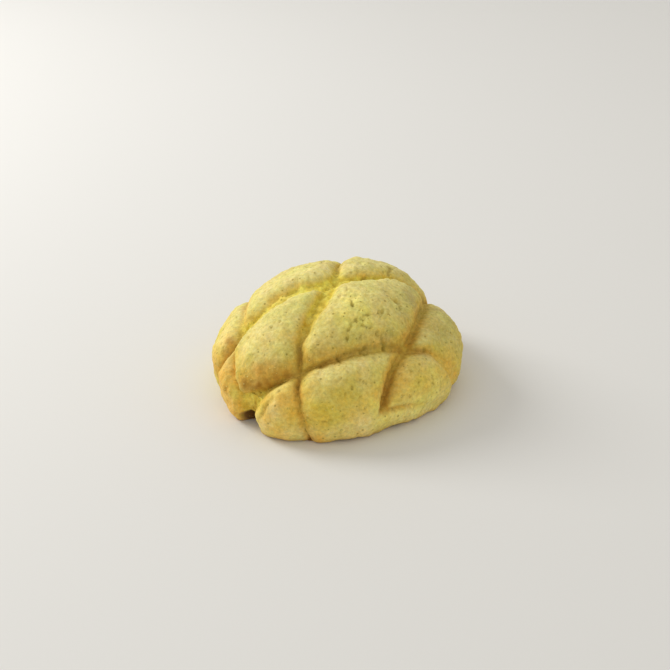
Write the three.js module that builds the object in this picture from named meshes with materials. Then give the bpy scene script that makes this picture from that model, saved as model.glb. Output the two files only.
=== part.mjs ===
// A melon pan: a domed sweet bun under a cookie crust, scored in a diamond lattice.
// Millimetres, +Z up, the bun rests on z = 0 with the middle of its outline over the origin.
//
// The crust is laid out as a flat disc, as the cookie dough is before it goes over the bun:
// u runs to the right and v to the back, both in mm from the top of the dome, and a point's
// distance from the middle is its way along the dome from the top down to the ground.
import * as THREE from "three";

// Dome
const RADIUS = 60;
const HEIGHT = 57.2;
const WAIST_HEIGHT = 17.9; // widest place of the side
const TUCK = 4.8; // how far the side draws in from the waist to the ground
const SHOULDER_POWER = 1.055; // fullness of the shoulder, seen from above
const CROWN_POWER = 1.53; // roundness of the crown, seen from the side
const OUTLINE_WAVES = [
  // waves round the outline: count, cosine and sine part of the radius
  [2, -0.01, 0.049],
  [3, 0.001, -0.006],
  [4, 0.004, -0.018],
];

// Score lines, drawn on the flat crust. Each row: u, v, depth, width of the pillow's shoulder
// beside the line, half the width of the flat floor.
const DEEPEST = 7;
const STEEPNESS = 0.68; // of the pillows' shoulders beside the lines
const SCORE_LINES = [
  // left to right, behind the top
  [[-84, 46, 3, 8, 0], [-52, 31, 4, 8, 0.3], [-20, 37, 4.5, 8, 0.3], [2, 40, 4.5, 8, 0.5],
    [28, 57, 4, 8, 0.3], [48, 78, 3, 8, 0]],
  // left to right, over the top, with a wide floor left of it
  [[-93, -37, 2, 6, 0], [-75, -29, 3.6, 6, 0], [-61.5, -25.8, 4.4, 6.5, 0.2], [-54, -21, 4.3, 7, 1],
    [-48, -17.8, 4.1, 7, 2.3], [-41.2, -15.8, 3.8, 7, 3.1], [-32, -11.4, 3.6, 7, 3.1],
    [-21.7, -8.6, 3.6, 7, 2.8], [-8, -6.7, 4, 7.5, 2.6], [11, 0.2, 4.4, 8, 2.6],
    [27, 12.6, 4.5, 8, 2.4], [36, 17.4, 4.6, 10, 1.4], [46, 20, 4.6, 12, 0.6], [57, 22.5, 4.2, 11, 0],
    [72, 26, 3.4, 9, 0], [90, 28, 2.5, 8, 0]],
  // left to right, across the front: open at its left end, where the notch is
  [[-61, -72, 6.2, 4.5, 4], [-55.8, -63.2, 5.6, 4.5, 4], [-48, -59.6, 5.2, 4.5, 4],
    [-39.3, -58.8, 5.6, 6, 1.4], [-33.4, -57.3, 5.9, 7, 0.5], [-29, -56.3, 6, 8, 0.3],
    [-9.2, -53.2, 6, 8.5, 0.3], [8.5, -49.2, 5.6, 9, 0.8], [17.1, -47.1, 5.3, 9.5, 1],
    [26.8, -43.9, 5, 9.5, 1.1], [37.8, -40.2, 4.7, 9, 1], [47.2, -36.8, 3.4, 7.5, 0.5],
    [55.2, -34.1, 2.4, 7, 1.2], [67.3, -32.3, 2, 7, 2.6], [82, -29.5, 1.5, 7, 3], [94, -26, 1.2, 6, 2]],
  // the crease above the hem, right of the front
  [[27, -76, 3.2, 3.5, 0], [38.4, -71.6, 3, 4, 0], [50, -66, 2.2, 5, 0], [60, -60, 1.3, 5.5, 0],
    [74, -53, 0.3, 5, 0]],
  // a short crease on the wedge beside the notch
  [[-30.6, -62.2, 0.2, 3, 0], [-34, -64.4, 1.2, 3, 0], [-38.4, -66.8, 1.4, 3.2, 0],
    [-43, -69.1, 1.1, 3.2, 0], [-48.5, -72, 0.3, 3, 0]],
  // back to front, left of the top, down to the open end of the front line
  [[-56, 66, 3, 8, 0], [-51, 30, 3.2, 8, 0.3], [-50, 6, 2.8, 7, 0.8], [-51.6, -8, 3.4, 7, 1.4],
    [-54, -20, 4.2, 6.5, 1.2], [-55.6, -30.5, 4.2, 5, 0], [-56.2, -41, 4, 4.5, 0.1],
    [-54.6, -50, 2.8, 3.4, 0.4], [-56, -58, 4.4, 4.5, 1.6]],
  // back to front, over the top
  [[12, 90, 2.5, 8, 0], [6, 50, 4, 8, 0.3], [1.5, 20, 4, 8, 0.6], [-1.5, -4, 4.4, 8, 2.2],
    [-7.5, -20, 4.6, 8, 2.8], [-11.7, -27, 4.8, 8, 2.4], [-15, -34, 5, 8, 1.6],
    [-17.7, -40, 5.4, 8, 0.8], [-18.6, -48, 6, 8, 0.4], [-19.8, -56, 6, 8, 0.2],
    [-20.4, -64, 5.3, 7.5, 0.2], [-20.7, -72, 4.2, 7, 0], [-20.1, -82, 4.2, 6.5, 0],
    [-20.6, -93, 3.9, 5, 0]],
  // back to front, right of the top
  [[66, 72, 2.5, 8, 0], [57, 42, 4.2, 9, 0], [50.4, 17, 4.8, 11, 0.6], [48.8, 3, 5.2, 11, 1],
    [45.7, -11, 5.4, 10.5, 1.1], [41.9, -30.7, 5.8, 10, 1.2], [40.4, -36.6, 5.8, 9, 1.5],
    [38.2, -42, 5.7, 8.5, 1], [34.2, -51, 5.8, 8.5, 0.8], [30.4, -63, 5.8, 8, 0.9],
    [28.8, -70, 5.4, 6, 1.2], [28.4, -73.5, 4.5, 4, 1]],
];

// Swells of the crust: u, v, radius, height
const SWELLS = [
  [17, -25, 21, 2.6], [11, -28, 13, 0.9], [-36, -32, 19, 1.8], [5, -72, 20, 1.3], [24, 30, 22, 1.8],
  [-22, 18, 20, 1.3], [48, -55, 15, 1.3], [66, -5, 17, 1.2], [-36, -76, 14, 1.2], [-63, -43, 10, 1.2],
  [-70, -58, 18, 2.8], [-52, -78, 12, 2.2], [-38, -88, 24, 3], [10, -92, 26, 2.8], [19, -92, 12, 0.9],
  [44, -80, 12, 0.5], [62, -70, 12, 1.4], [80, -46, 26, 2], [34, 27, 12, 0.7], [-43, -51.5, 9, -1.2],
  [-33, -53, 8, -1.2], [-32, -66, 9, 0.8],
];

// Where the crust's edge is lifted off the ground: turn and half turn in degrees, height, depth.
// The first is the open notch at the foot, and the others are narrow gaps.
const NOTCHES = [[-132.2, 5.1, 6.7, 7], [-60.6, 2.8, 1.7, 4], [-51, 1.8, 1.3, 3], [-86, 6, 1.1, 3]];
const NOTCH_ARCH = 0.2; // how far the sides of a notch are lower than its middle

// Small lobes of the crust's lower edge
const EDGE_LOBE_HEIGHT = 9;
const EDGE_LOBES = [ // count, depth, phase
  [7, 0.45, 0.6], [11, 0.35, 2.1], [17, 0.3, 4.4], [29, 0.28, 1.2], [43, 0.2, 3.3],
];

// Gentle unevenness of the baked crust: wave length, height, phase
const UNEVENNESS = [[47, 0.45, 0.8], [31, 0.35, 2.9], [19, 0.22, 5.1]];

const GRID = 72; // squares across the crust
const LINE_STEPS = 8; // steps between two rows of a score line
const PULL_WIDTH = 7; // the grid is drawn together this near the floor of a score line
const PULL = 0.6;
const PROFILE_STEPS = 400;
const EDGE_MARGIN = 2;
const SLOPE_STEP = 0.5;

const GROUND_ANGLE = THREE.MathUtils.degToRad(115); // the ground's edge, counted from the top
const QUARTER = Math.PI / 2;

// One point of the dome's outline in a turn's plane: [share of the radius, height]
function domeProfile(angle) {
  if (angle <= QUARTER) {
    const rise = Math.max(Math.cos(angle), 0) ** CROWN_POWER;
    return [Math.sin(angle) ** SHOULDER_POWER, WAIST_HEIGHT + (HEIGHT - WAIST_HEIGHT) * rise];
  }
  const down = (QUARTER * (angle - QUARTER)) / (GROUND_ANGLE - QUARTER);
  return [1 - (TUCK / RADIUS) * (1 - Math.cos(down)), WAIST_HEIGHT * (1 - Math.sin(down))];
}

function outlineRadius(turn) {
  const wave = ([count, c, s]) => c * Math.cos(count * turn) + s * Math.sin(count * turn);
  return RADIUS * OUTLINE_WAVES.reduce((sum, row) => sum + wave(row), 1);
}

// Way along the profile from the top, at equal steps of the angle
function profileWays() {
  const ways = [0];
  let [lastShare, lastHeight] = domeProfile(0);
  for (let i = 1; i <= PROFILE_STEPS; i += 1) {
    const [share, height] = domeProfile((GROUND_ANGLE * i) / PROFILE_STEPS);
    ways.push(ways[i - 1] + Math.hypot(RADIUS * (share - lastShare), height - lastHeight));
    [lastShare, lastHeight] = [share, height];
  }
  return ways;
}

const WAYS = profileWays();
const CRUST_RADIUS = WAYS[PROFILE_STEPS];

function angleAt(way) {
  const i = Math.max(1, WAYS.findIndex((w) => w >= Math.min(way, CRUST_RADIUS)));
  const part = (Math.min(way, CRUST_RADIUS) - WAYS[i - 1]) / (WAYS[i] - WAYS[i - 1]);
  return (GROUND_ANGLE * (i - 1 + part)) / PROFILE_STEPS;
}

// Lays a point of the flat crust on the plain dome
function drape(u, v) {
  const turn = Math.atan2(v, u);
  const [share, height] = domeProfile(angleAt(Math.hypot(u, v)));
  const reach = outlineRadius(turn) * share;
  return new THREE.Vector3(reach * Math.cos(turn), reach * Math.sin(turn), height);
}

// Which way the relief moves a point: square to the crown, and level on the side, so that the
// foot stays down. The very edge takes the way of the side just above it.
function outward(u, v) {
  const inner = Math.min(1, (CRUST_RADIUS - EDGE_MARGIN) / Math.hypot(u, v));
  const [a, b] = [u * inner, v * inner];
  const right = drape(a + SLOPE_STEP, b).sub(drape(a - SLOPE_STEP, b));
  const back = drape(a, b + SLOPE_STEP).sub(drape(a, b - SLOPE_STEP));
  const out = right.cross(back);
  out.z = Math.max(out.z, 0);
  return out.normalize();
}

// A smooth score line as points with their place on the dome, depth, shoulder and floor
function scoreLine(rows) {
  const spline = (a, b) => new THREE.CatmullRomCurve3(
    rows.map((row) => new THREE.Vector3(row[a], row[b], row[2])), false, "catmullrom", 0.5);
  const path = spline(0, 1);
  const sizes = spline(3, 4);
  const steps = (rows.length - 1) * LINE_STEPS;
  return Array.from({ length: steps + 1 }, (_, i) => {
    const flat = path.getPoint(i / steps);
    const { x: shoulder, y: floor } = sizes.getPoint(i / steps);
    const depth = Math.max(flat.z, 0);
    return {
      flat: new THREE.Vector3(flat.x, flat.y, 0),
      place: drape(flat.x, flat.y),
      sizes: new THREE.Vector3(depth, shoulder, Math.max(floor, 0)),
    };
  });
}

const LINES = SCORE_LINES.map(scoreLine);

// Nearest point of a line to p, where key says flat or on the dome
function nearestOnLine(line, key, p) {
  const best = { distance: Infinity };
  const segment = new THREE.Line3();
  const foot = new THREE.Vector3();
  for (let i = 1; i < line.length; i += 1) {
    segment.set(line[i - 1][key], line[i][key]);
    const part = segment.closestPointToPointParameter(p, true);
    segment.at(part, foot);
    const distance = foot.distanceTo(p);
    if (distance < best.distance) Object.assign(best, { distance, part, i, foot: foot.clone() });
  }
  return best;
}

// Depth of the score lines at a point of the dome: rounded pillows that meet in creases
function scoreDepth(p) {
  let pillow = 1;
  for (const line of LINES) {
    const near = nearestOnLine(line, "place", p);
    const sizes = line[near.i - 1].sizes.clone().lerp(line[near.i].sizes, near.part);
    const away = THREE.MathUtils.clamp((near.distance - sizes.z) / sizes.y, 0, 1);
    const rise = (1 - (1 - away) ** 2) ** STEEPNESS;
    pillow *= 1 - (sizes.x / DEEPEST) * (1 - rise);
  }
  return DEEPEST * (1 - pillow);
}

function swellHeight(p) {
  return SWELLS.reduce((sum, [u, v, radius, height]) => {
    const spread = drape(u, v).distanceTo(p) / (0.7 * radius);
    return sum + height * Math.exp(-spread * spread);
  }, 0);
}

function unevenness(p) {
  return UNEVENNESS.reduce((sum, [length, height, phase]) => {
    const k = (2 * Math.PI) / length;
    return sum + height * Math.sin(k * p.x + phase) * Math.sin(k * p.y + 2 * phase)
      * Math.cos(k * p.z + 3 * phase);
  }, 0);
}

function notchDepth(p) {
  const turn = Math.atan2(p.y, p.x);
  return Math.max(...NOTCHES.map(([middle, halfTurn, height, depth]) => {
    const off = turn - THREE.MathUtils.degToRad(middle);
    const share = Math.atan2(Math.sin(off), Math.cos(off)) / THREE.MathUtils.degToRad(halfTurn);
    const arch = height * (1 - NOTCH_ARCH * Math.min(share ** 2, 1));
    const soft = Math.min(1, height / 2);
    const under = 1 - THREE.MathUtils.smoothstep(p.z, arch - soft, arch + soft);
    return depth * under * Math.exp(-(share ** 4));
  }));
}

function edgeLobes(p) {
  const turn = Math.atan2(p.y, p.x);
  const low = Math.max(0, 1 - p.z / EDGE_LOBE_HEIGHT);
  return low * EDGE_LOBES.reduce((sum, [count, depth, phase]) => sum
    + depth * (Math.sin(count * turn + phase) - 1), 0);
}

// A grid of squares laid on the unit disc ring by ring, so that no pole is left
function discPoint(a, b) {
  if (a === 0 && b === 0) return [0, 0];
  const sideways = Math.abs(a) > Math.abs(b);
  const reach = sideways ? a : b;
  const turn = sideways ? (Math.PI / 4) * (b / a) : QUARTER - (Math.PI / 4) * (a / b);
  return [reach * Math.cos(turn), reach * Math.sin(turn)];
}

// Draws grid points beside a score line closer to its floor, so that the crease comes out sharp
function drawnToLines(u, v) {
  const p = new THREE.Vector3(u, v, 0);
  const drawn = p.clone();
  const rim = 1 - THREE.MathUtils.smoothstep(p.length(), CRUST_RADIUS - 10, CRUST_RADIUS);
  for (const line of LINES) {
    const near = nearestOnLine(line, "flat", p);
    const beside = near.distance - line[near.i].sizes.z;
    const pull = PULL * rim * Math.max(0, 1 - beside / PULL_WIDTH) ** 2;
    if (beside > 0) drawn.addScaledVector(near.foot.sub(p), (pull * beside) / near.distance);
  }
  return drawn;
}

function crustGrid() {
  const flat = [];
  for (let i = 0; i <= GRID; i += 1) {
    for (let j = 0; j <= GRID; j += 1) {
      const [a, b] = discPoint((2 * i) / GRID - 1, (2 * j) / GRID - 1);
      flat.push(drawnToLines(a * CRUST_RADIUS, b * CRUST_RADIUS));
    }
  }
  return flat;
}

// Two triangles a square, split along the diagonal that lies nearer to the crust at its middle
function crustTriangles(flat, points) {
  const index = [];
  const row = GRID + 1;
  const missing = (corners) => {
    const middle = corners.reduce((sum, k) => sum.add(points[k]), new THREE.Vector3());
    const [u, v] = ["x", "y"].map((axis) => (flat[corners[0]][axis] + flat[corners[1]][axis]) / 2);
    return middle.divideScalar(2).distanceTo(crustPoint(u, v));
  };
  for (let i = 0; i < GRID; i += 1) {
    for (let j = 0; j < GRID; j += 1) {
      const a = i * row + j;
      const [b, c, d] = [a + row, a + row + 1, a + 1];
      if (missing([a, c]) < missing([b, d])) index.push(a, b, c, a, c, d);
      else index.push(a, b, d, b, c, d);
    }
  }
  return index;
}

// The grid's edge points in order round the crust
function crustEdge() {
  const row = GRID + 1;
  const side = Array.from({ length: GRID }, (_, k) => k);
  return [
    ...side.map((k) => k * row),
    ...side.map((k) => GRID * row + k),
    ...side.map((k) => (GRID - k) * row + GRID),
    ...side.map((k) => GRID - k),
  ];
}

// Finished crust over the flat point u, v
function crustPoint(u, v) {
  const p = drape(u, v);
  const height = swellHeight(p) + unevenness(p) + edgeLobes(p) - scoreDepth(p) - notchDepth(p);
  p.addScaledVector(outward(u, v), height);
  p.z = Math.max(p.z, 0);
  return p;
}

function bunGeometry() {
  const flat = crustGrid();
  const points = flat.map((p) => crustPoint(p.x, p.y));

  // the flat underside is a fan from its middle out to the crust's edge
  const middle = points.length;
  const edge = crustEdge();
  const under = edge.flatMap((corner, k) => [middle, edge[(k + 1) % edge.length], corner]);
  const bun = new THREE.BufferGeometry().setFromPoints([...points, new THREE.Vector3()]);
  bun.setIndex([...crustTriangles(flat, points), ...under]);

  // stand the outline's middle over the origin
  bun.computeBoundingBox();
  const centre = bun.boundingBox.getCenter(new THREE.Vector3());
  bun.translate(-centre.x, -centre.y, 0);
  bun.computeVertexNormals();
  return bun;
}

function bakedCrust() {
  return new THREE.MeshStandardMaterial({ color: 0xd8c274, roughness: 0.85, metalness: 0 });
}

function makeBun() {
  const bun = new THREE.Mesh(bunGeometry(), bakedCrust());
  bun.name = "bun";
  return bun;
}

const melonPan = new THREE.Group();
melonPan.add(makeBun());

export default melonPan;
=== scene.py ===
"""Melon pan: a domed sweet bun under a sandy cookie crust, scored in a diamond lattice.

The crust is laid out as a flat disc, as the cookie dough is before it goes over the bun:
u runs to the right and v to the back, both in mm from the top of the dome, and a point's
distance from the middle is its way along the dome from the top down to the ground. Score
lines, cracks and pits are drawn on that disc and draped over the dome with it.
"""
import math

import bpy
import numpy as np
from bpy.props import (
    FloatProperty, FloatVectorProperty, IntProperty, PointerProperty, StringProperty,
)
from mathutils import Euler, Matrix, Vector
from mathutils.kdtree import KDTree


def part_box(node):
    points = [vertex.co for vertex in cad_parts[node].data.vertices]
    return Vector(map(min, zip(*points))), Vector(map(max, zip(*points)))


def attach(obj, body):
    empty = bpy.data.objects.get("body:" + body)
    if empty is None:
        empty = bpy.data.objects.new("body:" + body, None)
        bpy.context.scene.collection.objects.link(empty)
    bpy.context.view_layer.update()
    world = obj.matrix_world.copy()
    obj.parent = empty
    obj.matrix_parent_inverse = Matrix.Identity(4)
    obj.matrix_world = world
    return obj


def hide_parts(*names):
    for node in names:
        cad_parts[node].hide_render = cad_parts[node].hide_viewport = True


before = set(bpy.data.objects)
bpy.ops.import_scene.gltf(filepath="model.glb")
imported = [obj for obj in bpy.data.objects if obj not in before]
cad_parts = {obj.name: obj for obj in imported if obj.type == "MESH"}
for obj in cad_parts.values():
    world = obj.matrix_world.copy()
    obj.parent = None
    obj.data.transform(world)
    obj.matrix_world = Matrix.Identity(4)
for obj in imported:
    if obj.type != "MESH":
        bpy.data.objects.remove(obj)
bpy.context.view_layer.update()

bl_info = {
    "name": "Melon Pan",
    "version": (1, 0, 0),
    "blender": (4, 5, 0),
    "location": "3D View > Sidebar > Melon Pan",
    "description": "Bakes a scored melon pan bun with its crumbs and a plain studio round it",
    "category": "Add Mesh",
}

MM = 0.001

# Dome, mm
RADIUS = 60.0
HEIGHT = 57.2
WAIST_HEIGHT = 17.9
TUCK = 4.8
SHOULDER_POWER = 1.055
CROWN_POWER = 1.53
GROUND_ANGLE = math.radians(115)
OUTLINE_WAVES = ((2, -0.010, 0.049), (3, 0.001, -0.006), (4, 0.004, -0.018))
PROFILE_STEPS = 400
EDGE_MARGIN = 2.0
SLOPE_STEP = 0.5

# Score lines. Each row: u, v, depth, width of the pillow's shoulder beside the line, half
# the width of the flat floor, and how brown the floor is, from 0 to 1, which is partly
# browning and partly painted shade in the crease.
DEEPEST = 7.0
STEEPNESS = 0.68
SCORE_LINES = {
    "across_back": (
        (-84, 46, 3, 8, 0, .5), (-52, 31, 4, 8, .3, .3), (-20, 37, 4.5, 8, .3, .3),
        (2, 40, 4.5, 8, .5, .3), (28, 57, 4, 8, .3, .5), (48, 78, 3, 8, 0, .6)),
    "across_top": (
        (-93, -37, 2, 6, 0, .6), (-75, -29, 3.6, 6, 0, .7), (-61.5, -25.8, 4.4, 6.5, .2, .7),
        (-54, -21, 4.3, 7, 1, .5), (-48, -17.8, 4.1, 7, 2.3, .1), (-41.2, -15.8, 3.8, 7, 3.1, 0),
        (-32, -11.4, 3.6, 7, 3.1, 0), (-21.7, -8.6, 3.6, 7, 2.8, 0), (-8, -6.7, 4.0, 7.5, 2.6, 0),
        (11, .2, 4.4, 8, 2.6, 0), (27, 12.6, 4.5, 8, 2.4, 0), (36, 17.4, 4.6, 10, 1.4, .1),
        (46, 20, 4.6, 12, .6, .3), (57, 22.5, 4.2, 11, 0, .5), (72, 26, 3.4, 9, 0, .6),
        (90, 28, 2.5, 8, 0, .6)),
    "across_front": (
        (-61, -72, 6.2, 4.5, 4.0, .1), (-55.8, -63.2, 5.6, 4.5, 4, 0), (-48, -59.6, 5.2, 4.5, 4, 0),
        (-39.3, -58.8, 5.6, 6, 1.4, .15), (-33.4, -57.3, 5.9, 7, .5, .2),
        (-29, -56.3, 6, 8, .3, .4), (-9.2, -53.2, 6, 8.5, .3, .5), (8.5, -49.2, 5.6, 9, .8, .3),
        (17.1, -47.1, 5.3, 9.5, 1, .2), (26.8, -43.9, 5, 9.5, 1.1, .2),
        (37.8, -40.2, 4.7, 9, 1, .8), (47.2, -36.8, 3.4, 7.5, .5, .6),
        (55.2, -34.1, 2.4, 7, 1.2, .2), (67.3, -32.3, 2.0, 7, 2.6, 0), (82, -29.5, 1.5, 7, 3, 0),
        (94, -26, 1.2, 6, 2, 0)),
    "hem_crease": (
        (27, -76, 3.2, 3.5, 0, .5), (38.4, -71.6, 3.0, 4, 0, .4), (50, -66, 2.2, 5, 0, .2),
        (60, -60, 1.3, 5.5, 0, .1), (74, -53, .3, 5, 0, 0)),
    "wedge_crease": (
        (-30.6, -62.2, .2, 3, 0, 0), (-34, -64.4, 1.2, 3, 0, .2), (-38.4, -66.8, 1.4, 3.2, 0, .25),
        (-43, -69.1, 1.1, 3.2, 0, .2), (-48.5, -72, .3, 3, 0, 0)),
    "down_left": (
        (-56, 66, 3, 8, 0, .6), (-51, 30, 3.2, 8, .3, .5), (-50, 6, 2.8, 7, .8, .3),
        (-51.6, -8, 3.4, 7, 1.4, .1), (-54, -20, 4.2, 6.5, 1.2, .2), (-55.6, -30.5, 4.2, 5, 0, .3),
        (-56.2, -41, 4.0, 4.5, .1, .3), (-54.6, -50, 2.8, 3.4, .4, .2),
        (-56, -58, 4.4, 4.5, 1.6, 0)),
    "down_middle": (
        (12, 90, 2.5, 8, 0, .6), (6, 50, 4, 8, .3, .5), (1.5, 20, 4, 8, .6, .1),
        (-1.5, -4, 4.4, 8, 2.2, 0), (-7.5, -20, 4.6, 8, 2.8, .1), (-11.7, -27, 4.8, 8, 2.4, .2),
        (-15, -34, 5, 8, 1.6, .3), (-17.7, -40, 5.4, 8, .8, .15), (-18.6, -48, 6, 8, .4, .6),
        (-19.8, -56, 6, 8, .2, .65), (-20.4, -64, 5.3, 7.5, .2, .5), (-20.7, -72, 4.2, 7, 0, .35),
        (-20.1, -82, 4.2, 6.5, 0, .2), (-20.6, -93, 3.9, 5, 0, .5)),
    "down_right": (
        (66, 72, 2.5, 8, 0, .6), (57, 42, 4.2, 9, 0, .6), (50.4, 17, 4.8, 11, .6, .2),
        (48.8, 3, 5.2, 11, 1, .25), (45.7, -11, 5.4, 10.5, 1.1, .35),
        (41.9, -30.7, 5.8, 10, 1.2, .75), (40.4, -36.6, 5.8, 9, 1.5, .75),
        (38.2, -42, 5.7, 8.5, 1, .4), (34.2, -51, 5.8, 8.5, .8, .45), (30.4, -63, 5.8, 8, .9, .8),
        (28.8, -70, 5.4, 6, 1.2, .9), (28.4, -73.5, 4.5, 4, 1.0, .9)),
}
LINE_STEPS = 60

# Swells of the crust: u, v, radius, height
SWELLS = (
    (17, -25, 21, 2.6), (11, -28, 13, .9), (-36, -32, 19, 1.8), (5, -72, 20, 1.3),
    (24, 30, 22, 1.8), (-22, 18, 20, 1.3), (48, -55, 15, 1.3), (66, -5, 17, 1.2),
    (-36, -76, 14, 1.2), (-63, -43, 10, 1.2), (-70, -58, 18, 2.8), (-52, -78, 12, 2.2),
    (-38, -88, 24, 3.0), (10, -92, 26, 2.8), (19, -92, 12, .9), (44, -80, 12, .5),
    (62, -70, 12, 1.4), (80, -46, 26, 2.0), (34, 27, 12, .7), (-43, -51.5, 9, -1.2),
    (-33, -53, 8, -1.2), (-32, -66, 9, .8),
)

# Where the crust's edge is lifted off the ground: turn and half turn in degrees, height, depth.
# The first is the open notch at the foot, and the others are narrow gaps.
NOTCHES = ((-132.2, 5.1, 6.7, 7), (-60.6, 2.8, 1.7, 4), (-51, 1.8, 1.3, 3), (-86, 6, 1.1, 3))
NOTCH_ARCH = 0.2

# Small lobes of the crust's lower edge: count, depth, phase
EDGE_LOBE_HEIGHT = 9.0
EDGE_LOBES = ((7, .45, .6), (11, .35, 2.1), (17, .3, 4.4), (29, .28, 1.2), (43, .2, 3.3))

# Gentle unevenness of the baked crust: wave length, height, phase
UNEVENNESS = ((47, .45, .8), (31, .35, 2.9), (19, .22, 5.1))

# Cracks of the dry crust: depth, width, then the way of the crack as u, v
CRACKS = (
    (1.1, 1.3, (6.8, -25), (7.3, -28.2), (8.5, -29.6), (10.6, -29.9)),
    (.8, 1.25, (12.7, -31.8), (15.3, -31.5), (18.2, -30.1), (20.5, -28.5), (22.7, -26.8)),
    (1.0, 1.35, (13.3, -33.9), (9.4, -34.3), (7.4, -35.8), (5.4, -38.9), (4.7, -42.5), (4.7, -45)),
    (.95, 1.3, (10.1, -34.8), (12.3, -36.5), (15.9, -37.4), (18, -38), (21, -39.4)),
    (1.15, 1.4, (23.4, -39.2), (24.7, -41.2), (26.6, -42.6), (27.2, -44.6)),
    (.8, 2.0, (27.6, -15.4), (30.6, -17), (32.6, -20)),
    (.6, 1.4, (.2, -23.4), (4, -18.3), (5.4, -15)),
    (.5, 1.3, (16, -37.4), (19, -34.4), (22.4, -31.6), (26, -33)),
    (.9, 1.2, (-29, -77.2), (-24, -78.8), (-21.2, -78)),
    (1.0, 1.2, (-17.5, -78.1), (-11.7, -78.9), (-3.4, -80.2)),
    (.95, 1.25, (.6, -50), (2.2, -54)),
    (1.9, 1.7, (16, 8), (14.2, 5), (12.6, 1.4), (11, -2.4)),
    (1.5, 1.5, (14.6, 1.2), (19.8, 4.9), (24.1, 8.1), (27.6, 11)),
    (1.5, 1.7, (24.3, 10.6), (26.2, 15), (26.8, 24)),
    (1.1, 1.6, (27.6, 11), (29, 15), (31.6, 19.6)),
    (.9, 1.4, (14.2, 5), (18.6, 7.6), (20.6, 12)),
    (.7, 1.3, (49.4, -35.5), (50.4, -32.6), (54.6, -33.2)),
    (.7, 1.5, (-30, 12), (-24.6, 15.4), (-21.6, 22)),
    (.8, 1.5, (30, 40), (35.4, 37), (38, 31), (43, 29.4)),
    (.8, 1.5, (-8, 58), (-2, 61.4), (5, 61), (9, 66)),
    (.7, 1.4, (66, 4), (70, -2.4), (68.4, -9)),
    (.7, 1.4, (-74, 10), (-70.6, 3), (-72, -5)),
    (.7, 1.4, (60, 52), (67, 49), (71, 40)),
    (.7, 1.4, (-30, 62), (-26, 70), (-30, 78)),
)
CRACK_STEPS = 12

# Single pits: u, v, radius
PITS = (
    (7, -26.7, 1.4), (15.2, -31.8, 1.2), (9.3, -34.4, 1.2), (12.3, -36.6, 1.1), (5.3, -39, 1.3),
    (4.7, -42.6, 1.4), (20, -38.9, 1.2), (23.8, -40.2, 1.2), (29.4, -16.2, 2.1), (20.4, -28.4, .9),
    (22.6, -26.7, 1.0), (11.8, -41.9, .8), (15.6, -46, 1.4), (15.2, -49.8, 1.1),
    (49.3, -34.2, 1.6), (11.9, -63.1, .9), (14.7, -63.9, .9),
    (3.8, -68.7, 1.0), (2.3, -77.5, 1.0), (-23, -23.7, .9), (-18.7, -53.4, .8),
    (13.5, -48, 1.1), (7.5, -66.2, .9), (-29.3, -61.6, 1.0), (46.9, -55.3, .9),
    (37, -54.5, .9), (41.7, -51.7, .9), (54.9, -48.8, .9), (14, -32, .9), (22, -28, .8),
)

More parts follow.
